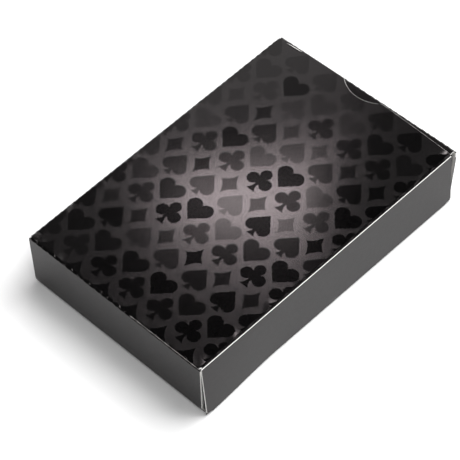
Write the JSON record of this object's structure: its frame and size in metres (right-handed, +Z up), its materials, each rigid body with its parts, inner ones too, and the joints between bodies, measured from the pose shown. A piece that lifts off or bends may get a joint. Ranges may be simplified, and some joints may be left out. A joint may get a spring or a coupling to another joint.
{
  "type": "card deck box",
  "caption": "Tuck-end paperboard box holding a deck of playing cards; matte black board with card suits in clear gloss and a shallow thumb notch.",
  "frame": {"origin": "centre of the closed box's footprint on its back panel", "axes": "+X across the width towards the glued long side, +Y along the length towards the lid, +Z up towards the front panel"},
  "size_m": [0.061, 0.091, 0.0181],
  "materials": {
    "printed_board": "matte black laminate with spot gloss",
    "glue": "dry clear film",
    "card_stock": "smooth satin coating"
  },
  "bodies": {
    "carton": {"front_panel": "printed_board", "back_panel": "printed_board", "left_side_panel": "printed_board", "right_inner_side_panel": "printed_board", "right_outer_side_panel": "printed_board", "side_seam_glue": "glue"},
    "lid": {"lid_panel": "printed_board"},
    "lid_tuck": {"lid_tuck_flap": "printed_board"},
    "top_left_dust": {"top_left_dust_flap": "printed_board"},
    "top_right_dust": {"top_right_dust_flap": "printed_board"},
    "bottom": {"bottom_panel": "printed_board"},
    "bottom_tuck": {"bottom_tuck_flap": "printed_board"},
    "bottom_left_dust": {"bottom_left_dust_flap": "printed_board"},
    "bottom_right_dust": {"bottom_right_dust_flap": "printed_board"},
    "deck": {"spade_cards": "card_stock", "heart_cards": "card_stock", "diamond_cards": "card_stock", "club_cards": "card_stock", "joker_cards": "card_stock"}
  },
  "joints": [
    {"name": "lid_fold", "type": "hinge", "parent": "carton", "child": "lid", "pos_m": [0, 0.0453, 0.0002], "axis": [-1, 0, 0], "range_deg": [0, 90]},
    {"name": "lid_tuck_fold", "type": "hinge", "parent": "lid", "child": "lid_tuck", "pos_m": [0, 0.0453, 0.01662], "axis": [1, 0, 0], "range_deg": [0, 36]},
    {"name": "top_left_dust_fold", "type": "hinge", "parent": "carton", "child": "top_left_dust", "pos_m": [-0.0303, 0.04475, 0.00903], "axis": [0, 0, 1], "range_deg": [0, 45]},
    {"name": "top_right_dust_fold", "type": "hinge", "parent": "carton", "child": "top_right_dust", "pos_m": [0.02985, 0.04475, 0.00903], "axis": [0, 0, -1], "range_deg": [0, 45]},
    {"name": "bottom_fold", "type": "hinge", "parent": "carton", "child": "bottom", "pos_m": [0, -0.0453, 0.01787], "axis": [-1, 0, 0], "range_deg": [0, 90]},
    {"name": "bottom_tuck_fold", "type": "hinge", "parent": "bottom", "child": "bottom_tuck", "pos_m": [0, -0.0453, 0.00145], "axis": [1, 0, 0], "range_deg": [0, 36]},
    {"name": "bottom_left_dust_fold", "type": "hinge", "parent": "carton", "child": "bottom_left_dust", "pos_m": [-0.0303, -0.04475, 0.00903], "axis": [0, 0, -1], "range_deg": [0, 45]},
    {"name": "bottom_right_dust_fold", "type": "hinge", "parent": "carton", "child": "bottom_right_dust", "pos_m": [0.02985, -0.04475, 0.00903], "axis": [0, 0, 1], "range_deg": [0, 45]},
    {"name": "deck_slide", "type": "slide", "parent": "carton", "child": "deck", "axis": [0, 1, 0], "range_m": [-0.0004, 0.0004]}
  ],
  "couplings": [
    {"joint": "lid_tuck_fold", "follows": "lid_fold", "ratio": 0.4},
    {"joint": "bottom_tuck_fold", "follows": "bottom_fold", "ratio": 0.4},
    {"joint": "top_left_dust_fold", "follows": "lid_fold", "ratio": 0.5},
    {"joint": "bottom_left_dust_fold", "follows": "bottom_fold", "ratio": 0.5},
    {"joint": "top_right_dust_fold", "follows": "lid_fold", "ratio": 0.5},
    {"joint": "bottom_right_dust_fold", "follows": "bottom_fold", "ratio": 0.5}
  ]
}
